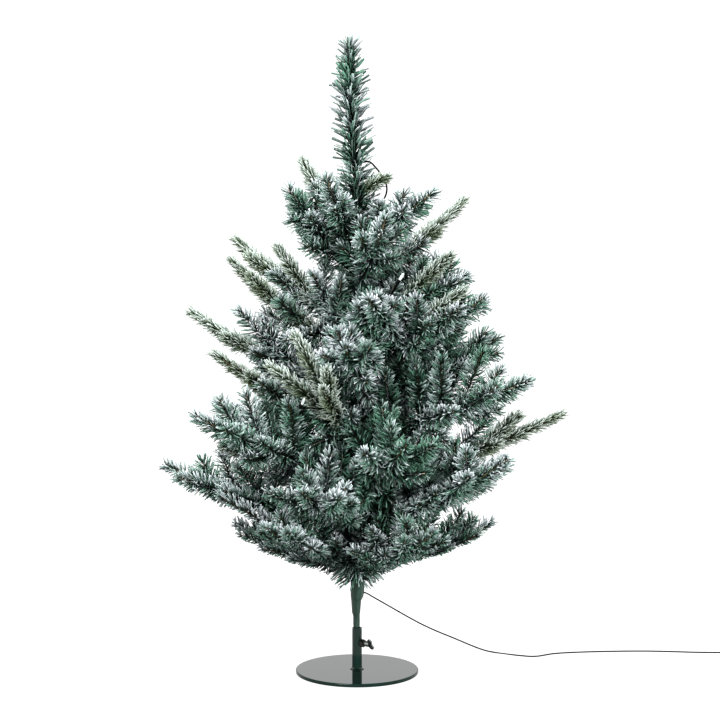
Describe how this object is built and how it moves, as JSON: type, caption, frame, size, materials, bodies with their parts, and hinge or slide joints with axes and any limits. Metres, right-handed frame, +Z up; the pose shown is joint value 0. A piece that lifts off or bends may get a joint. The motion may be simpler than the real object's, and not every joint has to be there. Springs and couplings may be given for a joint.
{
  "type": "artificial tabletop tree",
  "caption": "Frosted artificial tabletop tree on a round plate stand, with a clamped pole, folding needle branches, a light string and a battery box.",
  "frame": {"origin": "centre of the base plate's underside, on the surface the tree stands on", "axes": "+Z up along the trunk, +X to the viewer's right as the lead leaves, +Y to the back"},
  "size_m": [0.8969, 0.4456, 0.8987],
  "materials": {
    "stand_paint": "gloss",
    "black_steel": "satin",
    "zinc_steel": "satin",
    "black_plastic": "matte",
    "pole_steel": "satin",
    "wrap_film": "satin",
    "needles": "matte, frosted",
    "wire_insulation": "satin",
    "box_plastic": "satin",
    "switch_plastic": "satin",
    "circuit_board": "matte",
    "contact_steel": "bright",
    "cell_jacket": "satin"
  },
  "bodies": {
    "base": {"base_plate": "stand_paint", "socket_collar": "stand_paint", "socket_tube": "stand_paint", "weld_nut": "black_steel", "lead_cord": "wire_insulation", "lead_coil": "wire_insulation", "coil_tie": "wire_insulation", "battery_case": "box_plastic", "contact_board": "circuit_board", "contact_plate": "contact_steel", "battery_cell_1": "cell_jacket", "battery_cell_2": "cell_jacket", "battery_cell_3": "cell_jacket"},
    "pole_plug": {"pole_plug": "black_plastic"},
    "trunk": {"trunk_pole": "pole_steel", "trunk_wrap": "wrap_film", "leader": "needles", "light_string": "wire_insulation"},
    "clamp_screw": {"thumb_screw": "zinc_steel"},
    "battery_lid": {"battery_cover": "box_plastic"},
    "switch_knob": {"battery_switch": "switch_plastic"},
    "branch_1a": {"branch_1a": "needles"},
    "branch_1b": {"branch_1b": "needles"},
    "branch_1c": {"branch_1c": "needles"},
    "branch_1d": {"branch_1d": "needles"},
    "branch_1e": {"branch_1e": "needles"},
    "branch_2a": {"branch_2a": "needles"},
    "branch_2b": {"branch_2b": "needles"},
    "branch_2c": {"branch_2c": "needles"},
    "branch_2d": {"branch_2d": "needles"},
    "branch_2e": {"branch_2e": "needles"},
    "branch_3a": {"branch_3a": "needles"},
    "branch_3b": {"branch_3b": "needles"},
    "branch_3c": {"branch_3c": "needles"},
    "branch_3d": {"branch_3d": "needles"},
    "branch_3e": {"branch_3e": "needles"},
    "branch_4a": {"branch_4a": "needles"},
    "branch_4b": {"branch_4b": "needles"},
    "branch_4c": {"branch_4c": "needles"},
    "branch_4d": {"branch_4d": "needles"},
    "branch_4e": {"branch_4e": "needles"},
    "branch_5a": {"branch_5a": "needles"},
    "branch_5b": {"branch_5b": "needles"},
    "branch_5c": {"branch_5c": "needles"},
    "branch_5d": {"branch_5d": "needles"},
    "branch_6a": {"branch_6a": "needles"},
    "branch_6b": {"branch_6b": "needles"},
    "branch_6c": {"branch_6c": "needles"},
    "branch_6d": {"branch_6d": "needles"},
    "branch_7a": {"branch_7a": "needles"},
    "branch_7b": {"branch_7b": "needles"},
    "branch_7c": {"branch_7c": "needles"},
    "branch_8a": {"branch_8a": "needles"},
    "branch_8b": {"branch_8b": "needles"},
    "branch_8c": {"branch_8c": "needles"},
    "branch_9a": {"branch_9a": "needles"},
    "branch_9b": {"branch_9b": "needles"},
    "branch_9c": {"branch_9c": "needles"}
  },
  "joints": [
    {"name": "trunk_lift", "type": "slide", "parent": "base", "child": "pole_plug", "axis": [0, 0, 1], "range_m": [0, 0.07]},
    {"name": "trunk_swivel", "type": "hinge", "parent": "pole_plug", "child": "trunk", "pos_m": [0, 0, 0.0068], "axis": [0, 0, 1], "continuous": true},
    {"name": "clamp_screw_turn", "type": "hinge", "parent": "base", "child": "clamp_screw", "pos_m": [0, 0, 0.043], "axis": [0.8191, -0.5736, 0], "continuous": true},
    {"name": "battery_cover_slide", "type": "slide", "parent": "base", "child": "battery_lid", "axis": [0, 1, 0], "range_m": [0, 0.05]},
    {"name": "battery_switch_slide", "type": "slide", "parent": "base", "child": "switch_knob", "axis": [1, 0, 0], "range_m": [0, 0.005]},
    {"name": "branch_1a_fold", "type": "hinge", "parent": "trunk", "child": "branch_1a", "pos_m": [0.00869, 0.00233, 0.152], "axis": [0.2588, -0.9659, 0], "range_deg": [-8, 45]},
    {"name": "branch_1b_fold", "type": "hinge", "parent": "trunk", "child": "branch_1b", "pos_m": [0.00094, 0.00895, 0.162], "axis": [0.9945, -0.1045, 0], "range_deg": [-8.1, 45.2]},
    {"name": "branch_1c_fold", "type": "hinge", "parent": "trunk", "child": "branch_1c", "pos_m": [-0.0084, 0.00323, 0.144], "axis": [0.3584, 0.9336, 0], "range_deg": [-7.6, 42.8]},
    {"name": "branch_1d_fold", "type": "hinge", "parent": "trunk", "child": "branch_1d", "pos_m": [-0.00566, -0.00699, 0.16], "axis": [-0.7771, 0.6293, 0], "range_deg": [-7, 39.1]},
    {"name": "branch_1e_fold", "type": "hinge", "parent": "trunk", "child": "branch_1e", "pos_m": [0.0049, -0.00755, 0.146], "axis": [-0.8387, -0.5446, 0], "range_deg": [-6.5, 36.5]},
    {"name": "branch_2a_fold", "type": "hinge", "parent": "trunk", "child": "branch_2a", "pos_m": [-0.009, 0, 0.215], "axis": [0, 1, 0], "range_deg": [-7.7, 43.2]},
    {"name": "branch_2b_fold", "type": "hinge", "parent": "trunk", "child": "branch_2b", "pos_m": [-0.00278, -0.00856, 0.225], "axis": [-0.9511, 0.309, 0], "range_deg": [-7.8, 43.9]},
    {"name": "branch_2c_fold", "type": "hinge", "parent": "trunk", "child": "branch_2c", "pos_m": [0.00728, -0.00529, 0.207], "axis": [-0.5878, -0.809, 0], "range_deg": [-6.2, 34.6]},
    {"name": "branch_2d_fold", "type": "hinge", "parent": "trunk", "child": "branch_2d", "pos_m": [0.00728, 0.00529, 0.223], "axis": [0.5878, -0.809, 0], "range_deg": [-7.4, 41.6]},
    {"name": "branch_2e_fold", "type": "hinge", "parent": "trunk", "child": "branch_2e", "pos_m": [-0.00323, 0.0084, 0.209], "axis": [0.9336, 0.3584, 0], "range_deg": [-6.7, 37.6]},
    {"name": "branch_3a_fold", "type": "hinge", "parent": "trunk", "child": "branch_3a", "pos_m": [0.009, 0, 0.28], "axis": [0, -1, 0], "range_deg": [-7.6, 42.8]},
    {"name": "branch_3b_fold", "type": "hinge", "parent": "trunk", "child": "branch_3b", "pos_m": [0.00278, 0.00856, 0.29], "axis": [0.9511, -0.309, 0], "range_deg": [-7.9, 44.4]},
    {"name": "branch_3c_fold", "type": "hinge", "parent": "trunk", "child": "branch_3c", "pos_m": [-0.00728, 0.00529, 0.272], "axis": [0.5878, 0.809, 0], "range_deg": [-6.8, 37.8]},
    {"name": "branch_3d_fold", "type": "hinge", "parent": "trunk", "child": "branch_3d", "pos_m": [-0.00728, -0.00529, 0.288], "axis": [-0.5878, 0.809, 0], "range_deg": [-7.1, 40]},
    {"name": "branch_3e_fold", "type": "hinge", "parent": "trunk", "child": "branch_3e", "pos_m": [0.00278, -0.00856, 0.274], "axis": [-0.9511, -0.309, 0], "range_deg": [-7.1, 39.8]},
    {"name": "branch_4a_fold", "type": "hinge", "parent": "trunk", "child": "branch_4a", "pos_m": [0.00846, -0.00308, 0.345], "axis": [-0.342, -0.9397, 0], "range_deg": [-7.5, 42]},
    {"name": "branch_4b_fold", "type": "hinge", "parent": "trunk", "child": "branch_4b", "pos_m": [0.00554, 0.00709, 0.355], "axis": [0.788, -0.6157, 0], "range_deg": [-6.8, 37.8]},
    {"name": "branch_4c_fold", "type": "hinge", "parent": "trunk", "child": "branch_4c", "pos_m": [-0.00503, 0.00746, 0.337], "axis": [0.829, 0.5592, 0], "range_deg": [-6, 33.7]},
    {"name": "branch_4d_fold", "type": "hinge", "parent": "trunk", "child": "branch_4d", "pos_m": [-0.00865, -0.00248, 0.353], "axis": [-0.2756, 0.9613, 0], "range_deg": [-5.8, 32.2]},
    {"name": "branch_4e_fold", "type": "hinge", "parent": "trunk", "child": "branch_4e", "pos_m": [-0.00218, -0.00873, 0.339], "axis": [-0.9703, 0.2419, 0], "range_deg": [-6.3, 35.3]},
    {"name": "branch_5a_fold", "type": "hinge", "parent": "trunk", "child": "branch_5a", "pos_m": [-0.00891, 0.00125, 0.405], "axis": [0.1392, 0.9903, 0], "range_deg": [-6.4, 35.7]},
    {"name": "branch_5b_fold", "type": "hinge", "parent": "trunk", "child": "branch_5b", "pos_m": [-0.00078, -0.00897, 0.415], "axis": [-0.9962, 0.0872, 0], "range_deg": [-7, 39.1]},
    {"name": "branch_5c_fold", "type": "hinge", "parent": "trunk", "child": "branch_5c", "pos_m": [0.00891, 0.00125, 0.397], "axis": [0.1392, -0.9903, 0], "range_deg": [-6.9, 38.6]},
    {"name": "branch_5d_fold", "type": "hinge", "parent": "trunk", "child": "branch_5d", "pos_m": [0, 0.009, 0.413], "axis": [1, 0, 0], "range_deg": [-6.4, 35.8]},
    {"name": "branch_6a_fold", "type": "hinge", "parent": "trunk", "child": "branch_6a", "pos_m": [-0.00886, -0.00156, 0.46], "axis": [-0.1736, 0.9848, 0], "range_deg": [-4.3, 23.8]},
    {"name": "branch_6b_fold", "type": "hinge", "parent": "trunk", "child": "branch_6b", "pos_m": [0.00187, -0.0088, 0.47], "axis": [-0.9781, -0.2079, 0], "range_deg": [-6, 33.5]},
    {"name": "branch_6c_fold", "type": "hinge", "parent": "trunk", "child": "branch_6c", "pos_m": [0.00816, -0.0038, 0.452], "axis": [-0.4226, -0.9063, 0], "range_deg": [-6.4, 35.9]},
    {"name": "branch_6d_fold", "type": "hinge", "parent": "trunk", "child": "branch_6d", "pos_m": [0.0038, 0.00816, 0.468], "axis": [0.9063, -0.4226, 0], "range_deg": [-5.4, 30.2]},
    {"name": "branch_7a_fold", "type": "hinge", "parent": "trunk", "child": "branch_7a", "pos_m": [0.00891, -0.00125, 0.51], "axis": [-0.1392, -0.9903, 0], "range_deg": [-6.9, 38.8]},
    {"name": "branch_7b_fold", "type": "hinge", "parent": "trunk", "child": "branch_7b", "pos_m": [0.00156, 0.00886, 0.52], "axis": [0.9848, -0.1736, 0], "range_deg": [-5.3, 29.8]},
    {"name": "branch_7c_fold", "type": "hinge", "parent": "trunk", "child": "branch_7c", "pos_m": [-0.00869, 0.00233, 0.502], "axis": [0.2588, 0.9659, 0], "range_deg": [-4.9, 27.4]},
    {"name": "branch_8a_fold", "type": "hinge", "parent": "trunk", "child": "branch_8a", "pos_m": [0.00816, 0.0038, 0.562], "axis": [0.4226, -0.9063, 0], "range_deg": [-4.9, 27.1]},
    {"name": "branch_8b_fold", "type": "hinge", "parent": "trunk", "child": "branch_8b", "pos_m": [-0.00869, -0.00233, 0.572], "axis": [-0.2588, 0.9659, 0], "range_deg": [-1.7, 9.3]},
    {"name": "branch_8c_fold", "type": "hinge", "parent": "trunk", "child": "branch_8c", "pos_m": [0.00308, -0.00846, 0.554], "axis": [-0.9397, -0.342, 0], "range_deg": [-3.5, 19.7]},
    {"name": "branch_9a_fold", "type": "hinge", "parent": "trunk", "child": "branch_9a", "pos_m": [0.00779, -0.0045, 0.62], "axis": [-0.5, -0.866, 0], "range_deg": [-5.8, 32.3]},
    {"name": "branch_9b_fold", "type": "hinge", "parent": "trunk", "child": "branch_9b", "pos_m": [-0.00779, 0.0045, 0.63], "axis": [0.5, 0.866, 0], "range_deg": [-2.1, 11.5]},
    {"name": "branch_9c_fold", "type": "hinge", "parent": "trunk", "child": "branch_9c", "pos_m": [-0.0045, -0.00779, 0.612], "axis": [-0.866, 0.5, 0], "range_deg": [-2.1, 11.4]}
  ],
  "couplings": [
    {"joint": "branch_1b_fold", "follows": "branch_1a_fold", "ratio": 1.0037},
    {"joint": "branch_1c_fold", "follows": "branch_1a_fold", "ratio": 0.9489},
    {"joint": "branch_1d_fold", "follows": "branch_1a_fold", "ratio": 0.8668},
    {"joint": "branch_1e_fold", "follows": "branch_1a_fold", "ratio": 0.8089},
    {"joint": "branch_2a_fold", "follows": "branch_1a_fold", "ratio": 0.9582},
    {"joint": "branch_2b_fold", "follows": "branch_1a_fold", "ratio": 0.9744},
    {"joint": "branch_2c_fold", "follows": "branch_1a_fold", "ratio": 0.7672},
    {"joint": "branch_2d_fold", "follows": "branch_1a_fold", "ratio": 0.9237},
    {"joint": "branch_2e_fold", "follows": "branch_1a_fold", "ratio": 0.8347},
    {"joint": "branch_3a_fold", "follows": "branch_1a_fold", "ratio": 0.9494},
    {"joint": "branch_3b_fold", "follows": "branch_1a_fold", "ratio": 0.9846},
    {"joint": "branch_3c_fold", "follows": "branch_1a_fold", "ratio": 0.8393},
    {"joint": "branch_3d_fold", "follows": "branch_1a_fold", "ratio": 0.8873},
    {"joint": "branch_3e_fold", "follows": "branch_1a_fold", "ratio": 0.8826},
    {"joint": "branch_4a_fold", "follows": "branch_1a_fold", "ratio": 0.9323},
    {"joint": "branch_4b_fold", "follows": "branch_1a_fold", "ratio": 0.8399},
    {"joint": "branch_4c_fold", "follows": "branch_1a_fold", "ratio": 0.7472},
    {"joint": "branch_4d_fold", "follows": "branch_1a_fold", "ratio": 0.714},
    {"joint": "branch_4e_fold", "follows": "branch_1a_fold", "ratio": 0.7842},
    {"joint": "branch_5a_fold", "follows": "branch_1a_fold", "ratio": 0.7926},
    {"joint": "branch_5b_fold", "follows": "branch_1a_fold", "ratio": 0.8675},
    {"joint": "branch_5c_fold", "follows": "branch_1a_fold", "ratio": 0.8573},
    {"joint": "branch_5d_fold", "follows": "branch_1a_fold", "ratio": 0.7952},
    {"joint": "branch_6a_fold", "follows": "branch_1a_fold", "ratio": 0.5275},
    {"joint": "branch_6b_fold", "follows": "branch_1a_fold", "ratio": 0.743},
    {"joint": "branch_6c_fold", "follows": "branch_1a_fold", "ratio": 0.7967},
    {"joint": "branch_6d_fold", "follows": "branch_1a_fold", "ratio": 0.6699},
    {"joint": "branch_7a_fold", "follows": "branch_1a_fold", "ratio": 0.8615},
    {"joint": "branch_7b_fold", "follows": "branch_1a_fold", "ratio": 0.662},
    {"joint": "branch_7c_fold", "follows": "branch_1a_fold", "ratio": 0.6085},
    {"joint": "branch_8a_fold", "follows": "branch_1a_fold", "ratio": 0.6012},
    {"joint": "branch_8b_fold", "follows": "branch_1a_fold", "ratio": 0.2048},
    {"joint": "branch_8c_fold", "follows": "branch_1a_fold", "ratio": 0.4374},
    {"joint": "branch_9a_fold", "follows": "branch_1a_fold", "ratio": 0.7164},
    {"joint": "branch_9b_fold", "follows": "branch_1a_fold", "ratio": 0.2534},
    {"joint": "branch_9c_fold", "follows": "branch_1a_fold", "ratio": 0.2533}
  ]
}
